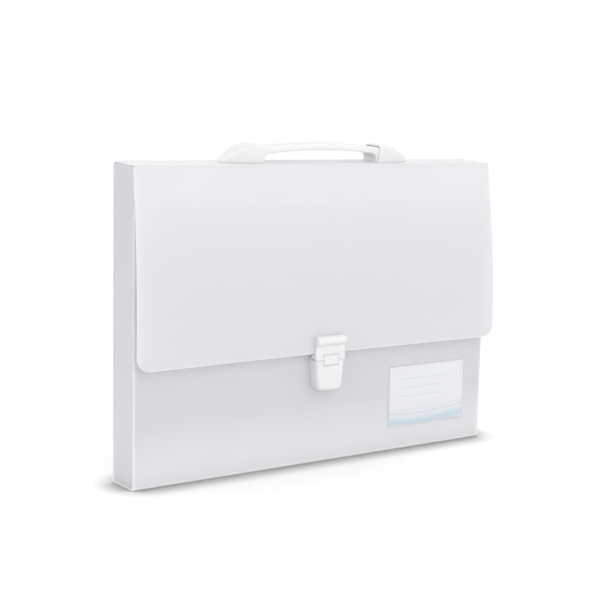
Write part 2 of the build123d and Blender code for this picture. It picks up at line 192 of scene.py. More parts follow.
class FolderStudioSettings(bpy.types.PropertyGroup):
    """Camera, room light, lamp and floor."""

    azimuth: FloatProperty(
        name="Azimuth", description="Camera's turn about the case, 0 looks along +Y",
        subtype="ANGLE", default=math.radians(-35.513))
    elevation: FloatProperty(
        name="Elevation", description="Camera's height above the horizon",
        subtype="ANGLE", default=math.radians(8.453))
    roll: FloatProperty(
        name="Roll", description="Camera's tilt about its own axis",
        subtype="ANGLE", default=math.radians(1.183))
    distance: length_setting("Distance", "From the camera to its target", 1.2103)
    target: FloatVectorProperty(
        name="Target", description="Point that the camera looks at",
        subtype="XYZ", size=3, unit="LENGTH", default=(-0.01771, -0.0005, 0.13316))
    lens: FloatProperty(
        name="Lens", description="Focal length on a 36 mm sensor, in millimetres",
        default=82.11)
    shift: FloatVectorProperty(
        name="Shift", description="Lens shift that frames the case as the photograph does",
        size=2, default=(0.00615, 0.02188))
    world_strength: FloatProperty(
        name="Room light", description="Strength of the room light at the horizon",
        min=0.0, max=2.0, default=1.32)
    zenith_strength: FloatProperty(
        name="Overhead light", description="Strength of the room light straight overhead",
        min=0.0, max=2.0, default=0.78)
    key_power: FloatProperty(
        name="Key power", description="Power of the large front lamp",
        unit="POWER", min=0.0, default=3.3)
    key_place: FloatVectorProperty(
        name="Key place", description="Where the large front lamp hangs",
        subtype="XYZ", size=3, unit="LENGTH", default=(-0.35, -1.5, 1.25))
    key_size: length_setting("Key size", "Side of the large front lamp", 1.2, min=0.0)
    floor_colour: colour_setting("Floor colour", "Colour of the floor", (0.85, 0.85, 0.855))
    floor_gain: FloatProperty(
        name="Floor gain", description="How much paler the camera sees the floor, which takes it to white",
        min=1.0, max=4.0, default=1.34)
    # Painted contact shadow on the floor, drawn from an ambient occlusion mask.
    painted_shadow_reach: length_setting(
        "Contact reach", "How far out from the folder its contact shadow reaches", 28.0 * MM, min=0.0)
    painted_shadow_tone: share_setting(
        "Contact tone", "How light the floor is right where the folder meets it", 0.36)


SETTINGS = {
    "folder_sheet": FolderSheetSettings,
    "folder_flap": FolderFlapSettings,
    "folder_latch": FolderLatchSettings,
    "folder_moulding": FolderMouldingSettings,
    "folder_card": FolderCardSettings,
    "folder_studio": FolderStudioSettings,
}


# Shared helpers

def new_group(name, inputs, outputs):
    """An empty shader node group with named sockets: a list of (name, type, default) for each side."""
    tree = bpy.data.node_groups.new(name, "ShaderNodeTree")
    for label, kind, default in inputs:
        socket = tree.interface.new_socket(label, in_out="INPUT", socket_type="NodeSocket" + kind)
        if default is not None:
            socket.default_value = default
    for label, kind in outputs:
        tree.interface.new_socket(label, in_out="OUTPUT", socket_type="NodeSocket" + kind)
    source = tree.nodes.new("NodeGroupInput")
    sink = tree.nodes.new("NodeGroupOutput")
    return tree, source, sink


def maths(tree, operation, *values, clamp=False):
    """A Math node fed by sockets or numbers. Gives its output socket."""
    node = tree.nodes.new("ShaderNodeMath")
    node.operation = operation
    node.use_clamp = clamp
    for socket, value in zip(node.inputs, values):
        if isinstance(value, (int, float)):
            socket.default_value = value
        else:
            tree.links.new(value, socket)
    return node.outputs[0]


def noise(tree, vector, scale, detail, roughness=0.5):
    """A noise texture on a vector. Gives its value socket."""
    node = tree.nodes.new("ShaderNodeTexNoise")
    node.inputs["Scale"].default_value = scale
    node.inputs["Detail"].default_value = detail
    node.inputs["Roughness"].default_value = roughness
    tree.links.new(vector, node.inputs["Vector"])
    return node.outputs["Fac"]


def split(tree, vector):
    """The x, y and z sockets of a vector."""
    node = tree.nodes.new("ShaderNodeSeparateXYZ")
    tree.links.new(vector, node.inputs[0])
    return node.outputs[0], node.outputs[1], node.outputs[2]


def mix_colour(tree, factor, first, second, blend="MIX"):
    """Mixes two colours, each a socket or a tuple, by a factor socket or number."""
    node = tree.nodes.new("ShaderNodeMix")
    node.data_type = "RGBA"
    node.blend_type = blend
    for socket, value in ((node.inputs[0], factor), (node.inputs[6], first), (node.inputs[7], second)):
        if isinstance(value, (int, float)):
            socket.default_value = value
        elif isinstance(value, bpy.types.NodeSocket):
            tree.links.new(value, socket)
        else:
            socket.default_value = (*value[:3], 1.0)
    return node.outputs[2]


@functools.cache
def emboss_group():
    """The sheet's fine crossed emboss: a height from two sets of slanting lines."""
    tree, source, sink = new_group(
        "Fine emboss", [("Vector", "Vector", None), ("Pitch", "Float", 0.001)], [("Height", "Float")])
    x, y, z = split(tree, source.outputs["Vector"])
    along = maths(tree, "ADD", x, y)
    up = maths(tree, "ADD", z, maths(tree, "MULTIPLY", y, 0.5))
    waves = []
    for operation in ("ADD", "SUBTRACT"):
        turn = maths(tree, "DIVIDE", maths(tree, operation, along, up), source.outputs["Pitch"])
        waves.append(maths(tree, "SINE", maths(tree, "MULTIPLY", turn, math.pi)))
    product = maths(tree, "MULTIPLY", waves[0], waves[1])
    tree.links.new(maths(tree, "MULTIPLY_ADD", product, 0.5, 0.5), sink.inputs["Height"])
    return tree


@functools.cache
def cloud_group():
    """Slow milky clouds and fine handling marks, both about 0 to 1."""
    tree, source, sink = new_group(
        "Milky clouds", [("Vector", "Vector", None)], [("Clouds", "Float"), ("Marks", "Float")])
    clouds = noise(tree, source.outputs["Vector"], scale=14.0, detail=3.0, roughness=0.55)
    stretch = tree.nodes.new("ShaderNodeMapping")
    stretch.inputs["Rotation"].default_value = (0.3, 0.5, 0.7)
    stretch.inputs["Scale"].default_value = (1.0, 30.0, 30.0)
    tree.links.new(source.outputs["Vector"], stretch.inputs["Vector"])
    streaks = noise(tree, stretch.outputs["Vector"], scale=40.0, detail=4.0, roughness=0.6)
    marks = maths(tree, "MULTIPLY", maths(tree, "SUBTRACT", streaks, 0.62), 6.0, clamp=True)
    tree.links.new(clouds, sink.inputs["Clouds"])
    tree.links.new(marks, sink.inputs["Marks"])
    return tree


@functools.cache
def line_group():
    """A soft line where a coordinate comes within a width of a place: 1 on the line, 0 away from it."""
    tree, source, sink = new_group(
        "Edge line", [("Coordinate", "Float", 0.0), ("Place", "Float", 0.0), ("Width", "Float", 0.001)],
        [("Line", "Float")])
    away = maths(tree, "ABSOLUTE", maths(tree, "SUBTRACT", source.outputs["Coordinate"],
                                         source.outputs["Place"]))
    near = maths(tree, "SUBTRACT", 1.0, maths(tree, "DIVIDE", away, source.outputs["Width"]), clamp=True)
    tree.links.new(maths(tree, "SMOOTH_MIN", near, 1.0, 0.3), sink.inputs["Line"])
    return tree


def new_material(name):
    """A material with its node tree, its Principled shader and its Object coordinates."""
    material = bpy.data.materials.new(name)
    material.use_nodes = True
    tree = material.node_tree
    coordinates = tree.nodes.new("ShaderNodeTexCoord").outputs["Object"]
    return material, tree, tree.nodes["Principled BSDF"], coordinates


def place_group(tree, group, vector=None):
    """Puts a shared effect in a material."""
    node = tree.nodes.new("ShaderNodeGroup")
    node.node_tree = group
    if vector is not None:
        tree.links.new(vector, node.inputs["Vector"])
    return node


def draw_line(tree, coordinate, place, width):
    """A soft line at a place along a coordinate. Gives its mask socket."""
    line = place_group(tree, line_group())
    tree.links.new(coordinate, line.inputs["Coordinate"])
    line.inputs["Place"].default_value = place
    line.inputs["Width"].default_value = width
    return line.outputs["Line"]


def mix_shaders(tree, share, first, second, output):
    """Mixes two shader nodes by a share, and gives the result to the named output node."""
    mix = tree.nodes.new("ShaderNodeMixShader")
    for place, socket in enumerate((share, first.outputs[0], second.outputs[0])):
        tree.links.new(socket, mix.inputs[place])
    tree.links.new(mix.outputs[0], tree.nodes[output].inputs["Surface"])


def bump(tree, height, distance, strength):
    """A bump of a height socket, distance deep. Gives its normal socket."""
    node = tree.nodes.new("ShaderNodeBump")
    node.inputs["Strength"].default_value = strength
    node.inputs["Distance"].default_value = distance
    tree.links.new(height, node.inputs["Height"])
    return node.outputs["Normal"]


def dress(node_name, material):
    """Gives a carried-over CAD node its finish."""
    mesh = frame["nodes"][node_name].data
    mesh.materials.clear()
    mesh.materials.append(material)


# Finishes

def sheet_material(name, lines, painted_light_lift=0.0, painted_light_fade=None):
    """Milky translucent sheet with painted light and shade. lines are (axis, place, width, strength) of
    painted highlight lines, which pale the colour and glow along creases and cut edges, or where the
    front panel's top edge shows through the flap; lift paints light on the whole sheet, or painted shade
    where it is below 0; and fade is (low, high, drop): painted shade that darkens the sheet low down, or
    painted light where drop is below 0."""
    settings = bpy.context.scene.folder_sheet
    material, tree, shader, coordinates = new_material(name)
    clouds = place_group(tree, cloud_group(), coordinates)
    cloud_share, cloud_colour, painted_highlight_cover = 0.10, (0.66, 0.66, 0.68), 0.8
    # Painted light: the lift makes the whole sheet paler, or darker as painted shade where it is below 0.
    base = mix_colour(tree, maths(tree, "MULTIPLY", clouds.outputs["Clouds"], cloud_share),
                      tuple(min(1.0, c + painted_light_lift) for c in settings.colour), cloud_colour)
    glow = (0.0, 0.0, 0.0)
    x, y, z = split(tree, coordinates)
    # Painted shade: the sheet turns darker towards the bottom, or paler as painted light where drop is below
    # 0.
    if painted_light_fade:
        low, high, drop = painted_light_fade
        share = maths(tree, "DIVIDE", maths(tree, "SUBTRACT", high, z), high - low, clamp=True)
        painted_fade_colour = tuple(c + painted_light_lift - drop for c in settings.colour)
        base = mix_colour(tree, share, base, painted_fade_colour)
    places = {"x": maths(tree, "ABSOLUTE", x), "y": y, "z": z}
    # Painted highlights: each line pales the base colour and makes the sheet glow there.
    for axis, place, width, strength in lines:
        painted_line_light = maths(tree, "MULTIPLY", draw_line(tree, places[axis], place, width), strength)
        base = mix_colour(tree, maths(tree, "MULTIPLY", painted_line_light, painted_highlight_cover), base, settings.painted_edge_highlight)
        glow = mix_colour(tree, painted_line_light, glow, settings.painted_edge_highlight)
    tree.links.new(base, shader.inputs["Base Color"])
    tree.links.new(glow, shader.inputs["Emission Color"])
    shader.inputs["Emission Strength"].default_value = settings.painted_edge_glow
    rough = maths(tree, "MULTIPLY_ADD", clouds.outputs["Marks"], 0.12, settings.roughness)
    tree.links.new(rough, shader.inputs["Roughness"])
    emboss = place_group(tree, emboss_group(), coordinates)
    emboss.inputs["Pitch"].default_value = settings.emboss_pitch
    normal = bump(tree, emboss.outputs["Height"], settings.emboss_depth, strength=0.6)
    tree.links.new(normal, shader.inputs["Normal"])
    shader.inputs["Transmission Weight"].default_value = settings.see_through
    shader.inputs["IOR"].default_value = 1.3
    shader.inputs["Subsurface Weight"].default_value = 1.0
    shader.inputs["Subsurface Radius"].default_value = (1.0, 1.0, 1.0)
    shader.inputs["Subsurface Scale"].default_value = settings.milk_depth
    let_light_through(tree, shader, settings.passing)
    return material


def let_light_through(tree, shader, share):
    """Lets a share of the light that falls on a thin milky wall reach what lies behind it."""
    path = tree.nodes.new("ShaderNodeLightPath")
    light = maths(tree, "MAXIMUM", path.outputs["Is Shadow Ray"], path.outputs["Is Diffuse Ray"])
    clear = tree.nodes.new("ShaderNodeBsdfTransparent")
    mix_shaders(tree, maths(tree, "MULTIPLY", light, share), shader, clear, "Material Output")


@functools.cache
def moulding_material():
    """White injection moulding with a fine spark grain."""
    settings = bpy.context.scene.folder_moulding
    material, tree, shader, coordinates = new_material("White moulding")
    clouds = place_group(tree, cloud_group(), coordinates)
    base = mix_colour(tree, maths(tree, "MULTIPLY", clouds.outputs["Clouds"], 0.06),
                      tuple(settings.colour), (0.80, 0.80, 0.80))
    tree.links.new(base, shader.inputs["Base Color"])
    rough = maths(tree, "MULTIPLY_ADD", clouds.outputs["Marks"], 0.15, settings.roughness)
    tree.links.new(rough, shader.inputs["Roughness"])
    grain = noise(tree, coordinates, scale=2600.0, detail=2.0)
    tree.links.new(bump(tree, grain, settings.grain_depth, strength=0.5), shader.inputs["Normal"])
    shader.inputs["Subsurface Weight"].default_value = 0.6
    shader.inputs["Subsurface Radius"].default_value = (1.0, 1.0, 1.0)
    shader.inputs["Subsurface Scale"].default_value = settings.milk_depth
    shader.inputs["Coat Weight"].default_value = 0.15
    shader.inputs["Coat Roughness"].default_value = 0.2
    let_light_through(tree, shader, settings.passing)
    return material


def edge_highlight_material(name):
    """Cut edges and creases of the sheet, whose paler colour is a painted highlight."""
    settings = bpy.context.scene.folder_sheet
    material, tree, shader, coordinates = new_material(name)
    clouds = place_group(tree, cloud_group(), coordinates)
    base = mix_colour(tree, maths(tree, "MULTIPLY", clouds.outputs["Marks"], 0.15),
                      tuple(settings.painted_edge_highlight), tuple(settings.colour))
    tree.links.new(base, shader.inputs["Base Color"])
    rough = maths(tree, "MULTIPLY_ADD", clouds.outputs["Clouds"], 0.1, 0.3)
    tree.links.new(rough, shader.inputs["Roughness"])
    return material


def film_material():
    """Clear glossy pocket film with frosted welds round its edge."""
    material, tree, shader, coordinates = new_material("Pocket film")
    x, y, z = split(tree, coordinates)
    weld_width = 2.6 * MM
    masks = [draw_line(tree, coordinate, place, weld_width)
             for coordinate, place in ((x, POCKET_LOW.x), (x, POCKET_HIGH.x), (z, POCKET_LOW.z))]
    weld = maths(tree, "MAXIMUM", maths(tree, "MAXIMUM", masks[0], masks[1]), masks[2])
    shader.inputs["Base Color"].default_value = (0.97, 0.975, 0.99, 1.0)
    tree.links.new(maths(tree, "MULTIPLY_ADD", weld, 0.15, 0.04), shader.inputs["Alpha"])
    marks = place_group(tree, cloud_group(), coordinates)
    rough = maths(tree, "MULTIPLY_ADD", marks.outputs["Marks"], 0.15, 0.12)
    tree.links.new(rough, shader.inputs["Roughness"])
    waves = noise(tree, coordinates, scale=60.0, detail=1.0)
    tree.links.new(bump(tree, waves, 0.15 * MM, strength=0.3), shader.inputs["Normal"])
    return material


def card_material():
    """Coated white card with a plain pale band and three rules to write on."""
    settings = bpy.context.scene.folder_card
    material, tree, shader, coordinates = new_material("Name card")
    x, y, z = split(tree, coordinates)
    wide = CARD_HIGH.x - CARD_LOW.x
    high = CARD_HIGH.z - CARD_LOW.z
    across = maths(tree, "DIVIDE", maths(tree, "SUBTRACT", x, CARD_LOW.x), wide)
    up = maths(tree, "DIVIDE", maths(tree, "SUBTRACT", z, CARD_LOW.z), high)
    turn, wave_height = 4.0, 0.035
    wave = maths(tree, "MULTIPLY", maths(tree, "SINE", maths(tree, "MULTIPLY", across, turn)), wave_height)
    level = maths(tree, "ADD", up, wave)
    colour = settings.paper
    for place, width, strength in ((0.06, 0.11, 0.85), (0.20, 0.035, 0.5), (0.27, 0.018, 0.35)):
        ink = maths(tree, "MULTIPLY", draw_line(tree, level, place, width), strength)
        colour = mix_colour(tree, ink, colour, settings.band)
    rule_start, rule_end, rule_width, rule_strength = 0.12, 0.72, 0.012, 0.7
    inside = maths(tree, "MULTIPLY", maths(tree, "GREATER_THAN", across, rule_start),
                   maths(tree, "LESS_THAN", across, rule_end))
    for place in (0.78, 0.63, 0.48):
        ink = maths(tree, "MULTIPLY", draw_line(tree, up, place, rule_width),
                    maths(tree, "MULTIPLY", inside, rule_strength))
        colour = mix_colour(tree, ink, colour, settings.rule)
    tree.links.new(colour, shader.inputs["Base Color"])
    fibre = noise(tree, coordinates, scale=900.0, detail=3.0)
    tree.links.new(maths(tree, "MULTIPLY_ADD", fibre, 0.1, 0.35), shader.inputs["Roughness"])
    tree.links.new(bump(tree, fibre, 0.01 * MM, strength=0.4), shader.inputs["Normal"])
    return material


# Modelling helpers

def select_only(piece):
    """Object mode, with this piece alone selected and active."""
    if bpy.context.object and bpy.context.object.mode != "OBJECT":
        bpy.ops.object.mode_set(mode="OBJECT")
    bpy.ops.object.select_all(action="DESELECT")
    piece.select_set(True)
    bpy.context.view_layer.objects.active = piece


def pick(piece, element, test):
    """In edit mode, selects the vertices, edges or faces whose centre passes the test."""
    bpy.ops.mesh.select_mode(type=element)
    bpy.ops.mesh.select_all(action="DESELECT")
    bpy.ops.object.mode_set(mode="OBJECT")
    mesh = piece.data
    if element == "VERT":
        for vertex in mesh.vertices:
            vertex.select = test(vertex.co)
    elif element == "EDGE":
        for edge in mesh.edges:
            a, b = (mesh.vertices[i].co for i in edge.vertices)
            edge.select = test((a + b) / 2)
    else:
        for face in mesh.polygons:
            face.select = test(face.center)
    bpy.ops.object.mode_set(mode="EDIT")


def apply_modifier(piece, kind, **values):
    """Adds a modifier with these values to a piece and applies it."""
    select_only(piece)
    modifier = piece.modifiers.new(kind.lower(), kind)
    for name, value in values.items():
        setattr(modifier, name, value)
    bpy.ops.object.modifier_apply(modifier=modifier.name)


def settle(piece):
    """Leaves the object at the origin, unturned and unscaled, with its place in its mesh."""
    select_only(piece)
    bpy.ops.object.transform_apply(location=True, rotation=True, scale=True)


def add_primitive(add, name, stretch=None, **values):
    """Adds a primitive at its place with nothing else selected, names it and stretches it to size."""
    bpy.ops.object.select_all(action="DESELECT")
    add(**values)
    piece = bpy.context.object
    piece.name = name
    if stretch:
        piece.scale = stretch
    settle(piece)
    return piece


def add_block(name, low, high):
    """A cube primitive that fills the box between two corners, in object mode."""
    low, high = Vector(low), Vector(high)
    return add_primitive(bpy.ops.mesh.primitive_cube_add, name, size=1.0, location=(low + high) / 2,
                         scale=high - low)


def edit(piece):
    """Edit mode on this piece alone."""
    select_only(piece)
    bpy.ops.object.mode_set(mode="EDIT")


def leave_edit():
    """Back to object mode."""
    bpy.ops.object.mode_set(mode="OBJECT")


def near(a, b, tolerance=0.02 * MM):
    """Whether two measures are the same to within a tolerance."""
    return abs(a - b) < tolerance


def move(offset):
    """Moves what is selected in edit mode."""
    bpy.ops.transform.translate(value=offset, orient_type="GLOBAL")


def extrude(offset):
    """Extrudes what is selected in edit mode, and moves the new part."""
    bpy.ops.mesh.extrude_region_move(TRANSFORM_OT_translate={"value": offset})


def slice_at(piece, axis, places):
    """Cuts the whole mesh across at each place along an axis, in edit mode."""
    normal = [0.0, 0.0, 0.0]
    normal["xyz".index(axis)] = 1.0
    for place in places:
        point = [place * n for n in normal]
        bpy.ops.mesh.select_all(action="SELECT")
        bpy.ops.mesh.bisect(plane_co=point, plane_no=normal)


def cut_out(piece, low, high):
    """Cuts a box out of a piece."""
    cutter = add_block("cutter", low, high)
    apply_modifier(piece, "BOOLEAN", operation="DIFFERENCE", solver="EXACT", object=cutter)
    bpy.data.objects.remove(cutter, do_unlink=True)


def soften(piece, width, segments=2, angle=40.0):
    """Rounds every edge sharper than an angle, then shades the piece smooth up to that angle."""
    apply_modifier(piece, "BEVEL", width=width, segments=segments, limit_method="ANGLE",
                   angle_limit=math.radians(angle))
    smooth(piece)


def smooth(piece, angle=40.0):
    """Shades the piece smooth up to an angle in degrees."""
    select_only(piece)
    bpy.ops.object.shade_smooth_by_angle(angle=math.radians(angle))


def outward(piece):
    """Merges doubles and turns the faces outwards."""
    edit(piece)
    bpy.ops.mesh.select_all(action="SELECT")
    bpy.ops.mesh.remove_doubles(threshold=DOUBLES)
    bpy.ops.mesh.normals_make_consistent(inside=False)
    leave_edit()


def finish_piece(piece, body, slot, materials, *nodes):
    """Gives a piece its finishes and its body, and hides the CAD nodes that it stands for. slot is not used.
    """
    settle(piece)
    piece.data.materials.clear()
    for material in materials:
        piece.data.materials.append(material)
    if body:
        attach(piece, body)
    if nodes:
        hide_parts(*nodes)


# Pieces

class FOLDER_OT_sheets(bpy.types.Operator):
    """Gives the case and the top strip their milky sheet finish"""

    bl_idname = "folder.sheets"
    bl_label = "Milky sheets"

    def execute(self, context):
        half = WRAP_HIGH.x
        # Painted light on the case: a pale glowing line down each front corner, a bright glowing line along
        # the bottom edge, and paler colour towards the bottom.
        wrap = sheet_material("Sheet wrap", [("x", half, 3.4 * MM, 0.3), ("z", 0.0, 3.6 * MM, 1.0)],
                              painted_light_fade=(0.004, 0.055, -0.14))
        dress("body_wrap", wrap)
        # Painted shade and light on the side panels: darker all over, paler towards the bottom, and painted
        # highlight lines along the front and back creases.
        side = sheet_material(
            "Sheet side", [("y", WRAP_LOW.y, 2.4 * MM, 0.4), ("y", WRAP_HIGH.y, 2.4 * MM, 0.4)],
            painted_light_lift=-0.055, painted_light_fade=(0.01, 0.24, -0.05))
        dress("side_panel_left", side)
        dress("side_panel_right", side)
        # Painted light on the top strip: paler all over, with painted highlight lines along both creases.
        strip = sheet_material(
            "Sheet strip", [("y", STRIP_LOW.y, 1.5 * MM, 0.5), ("y", STRIP_HIGH.y, 1.2 * MM, 0.5)], painted_light_lift=0.17)
        dress("lid_strip", strip)
        return {"FINISHED"}


class FOLDER_OT_flap(bpy.types.Operator):
    """Cuts the front flap to its outline, bows it to the CAD flap and rounds its rim"""

    bl_idname = "folder.flap"
    bl_label = "Front flap"

    def execute(self, context):
        settings = context.scene.folder_flap
        margin, half_columns, rows = 0.15 * MM, 28, 22
        low, high = FLAP_LOW.z + margin, FLAP_AXIS.z
        before = FLAP_LOW.y - 20.0 * MM
        flap = add_primitive(
            bpy.ops.mesh.primitive_plane_add, "flap_sheet",
            (settings.bottom_width - 2 * margin, high - low, 1.0), size=1.0,
            location=(0, before, (low + high) / 2), rotation=(math.radians(90), 0, 0))
        edit(flap)
        pick(flap, "VERT", lambda p: near(p.z, high))
        bpy.ops.transform.resize(value=(settings.top_width / settings.bottom_width, 1, 1))
        pick(flap, "VERT", lambda p: near(p.z, low))
        bpy.ops.mesh.bevel(offset=settings.corner_radius, segments=10, affect="VERTICES")
        pick(flap, "VERT", lambda p: near(p.z, high))
        bpy.ops.mesh.bevel(offset=settings.top_cut, segments=1, affect="VERTICES")
        half = settings.bottom_width / 2
        slice_at(flap, "x", [half * step / half_columns for step in range(1 - half_columns, half_columns)])
        slice_at(flap, "z", [low + (high - low) * step / rows for step in range(1, rows)])
        leave_edit()
        apply_modifier(flap, "SHRINKWRAP", target=frame["nodes"]["lid_flap"], wrap_method="PROJECT",
                       use_project_y=True, use_positive_direction=True, use_negative_direction=False)
        apply_modifier(flap, "SMOOTH", factor=0.5, iterations=3, use_x=False, use_z=False)
        outward(flap)
        if sum(face.normal.y for face in flap.data.polygons) > 0:
            edit(flap)
            bpy.ops.mesh.select_all(action="SELECT")
            bpy.ops.mesh.flip_normals()
            leave_edit()
        apply_modifier(flap, "SOLIDIFY", thickness=settings.thickness, offset=-1.0, use_even_offset=True,
                       material_offset_rim=1)
        apply_modifier(flap, "BEVEL", width=settings.rim, segments=2, limit_method="ANGLE",
                       angle_limit=math.radians(50))
        smooth(flap)
        # Painted light and shade on the flap: a faint pale line where the front panel's top edge shows
        # through, a pale glowing line along the lower edge, paler all over and darker towards the bottom; the
        # rim faces take the painted highlight colour.
        panel_top = (WRAP_LOW.z + 234.0 * MM, 1.0 * MM)
        face = sheet_material("Flap sheet", [("z", *panel_top, 0.08), ("z", FLAP_LOW.z, 1.6 * MM, 0.7)],
                              painted_light_lift=0.105, painted_light_fade=(0.18, 0.245, 0.045))
        edge = edge_highlight_material("Flap rim")
        finish_piece(flap, "flap", "clear_sheet", (face, edge), "lid_flap")
        return {"FINISHED"}


def crease_web(name, path, half, thickness, material):
    """A thin flexible web along a crease: a strip drawn out step by step along a (y, z) path."""
    (y0, z0), (y1, z1) = path[:2]
    web = add_primitive(
        bpy.ops.mesh.primitive_plane_add, name, (2 * half, math.hypot(y1 - y0, z1 - z0), 1.0), size=1.0,
        location=(0, (y0 + y1) / 2, (z0 + z1) / 2), rotation=(math.atan2(z1 - z0, y1 - y0), 0, 0))
    edit(web)
    for start, end in zip(path[1:], path[2:]):
        pick(web, "EDGE", lambda p: near(p.y, start[0]) and near(p.z, start[1]))
        extrude((0, end[0] - start[0], end[1] - start[1]))
    leave_edit()
    outward(web)
    apply_modifier(web, "SOLIDIFY", thickness=thickness, offset=0.0)
    outward(web)
    smooth(web, 60.0)
    finish_piece(web, None, "clear_sheet", (material,))
    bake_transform(web)


def arc_path(centre, radius, first, last, steps):
    """Points of a (y, z) arc between two angles in degrees."""
    points = []
    for step in range(steps + 1):
        turn = math.radians(first + (last - first) * step / steps)
        points.append((centre.y + radius * math.cos(turn), centre.z + radius * math.sin(turn)))
    return points


class FOLDER_OT_creases(bpy.types.Operator):
    """Draws the thin flexible webs of the two living hinges"""

    bl_idname = "folder.creases"
    bl_label = "Crease webs"

    def execute(self, context):
        # The webs take the painted highlight colour of cut edges and creases.
        material = edge_highlight_material("Crease web")
        radius, thickness, end_gap, steps = 0.42 * MM, 0.42 * MM, 0.3 * MM, 7
        half = STRIP_HIGH.x - end_gap
        # Each web starts flat on the strip, turns round its hinge and ends a little down the panel
        front = [(FLAP_AXIS.y + 1.2 * MM, FLAP_AXIS.z + 0.46 * MM),
                 *arc_path(FLAP_AXIS, radius, 80, 185, steps),
                 (FLAP_AXIS.y - 0.46 * MM, FLAP_AXIS.z - 1.4 * MM)]
        crease_web("crease_web_front", front, half, thickness, material)
        back = [(LID_AXIS.y - 1.4 * MM, LID_AXIS.z + 0.32 * MM),
                *arc_path(LID_AXIS, radius, 95, -5, steps),
                (LID_AXIS.y + 0.42 * MM, LID_AXIS.z - 1.6 * MM)]
        crease_web("crease_web_back", back, half, thickness, material)
        return {"FINISHED"}


class FOLDER_OT_keeper(bpy.types.Operator):
    """Shapes the lower half of the latch: a tapered, hollow block with a notch for the pad"""

    bl_idname = "folder.keeper"
    bl_label = "Latch keeper"

    def execute(self, context):
        latch = context.scene.folder_latch
        low, high = KEEPER_LOW, KEEPER_HIGH
        keeper = add_block("latch_keeper_shell", low, high)
        edit(keeper)
        pick(keeper, "VERT", lambda p: near(p.z, low.z))
        bpy.ops.transform.resize(value=(latch.keeper_taper, 1, 1))
        pick(keeper, "EDGE", lambda p: near(p.z, low.z) and near(p.y, (low.y + high.y) / 2))
        bpy.ops.mesh.bevel(offset=latch.keeper_corner, segments=8, affect="EDGES")
        pick(keeper, "EDGE", lambda p: near(p.y, low.y) and not near(p.z, high.z))
        bpy.ops.mesh.bevel(offset=latch.keeper_edge, segments=7, affect="EDGES")
        leave_edit()
        outward(keeper)
        inner, depth, past = 11.0 * MM, 22.0 * MM, 1.0 * MM
        cut_out(keeper, (-inner, low.y + latch.wall, high.z - depth),
                (inner, high.y - latch.wall, high.z + past))
        half = latch.pad_size[0] / 2 + latch.pad_gap
        foot = PAD_LOW.z - latch.pad_gap
        cut_out(keeper, (-half, low.y - 2 * past, foot), (half, low.y + latch.wall + past, high.z + past))
        outward(keeper)
        soften(keeper, 0.3 * MM, 2)
        finish_piece(keeper, "case", "white_moulding", (moulding_material(),), "latch_keeper")
        return {"FINISHED"}


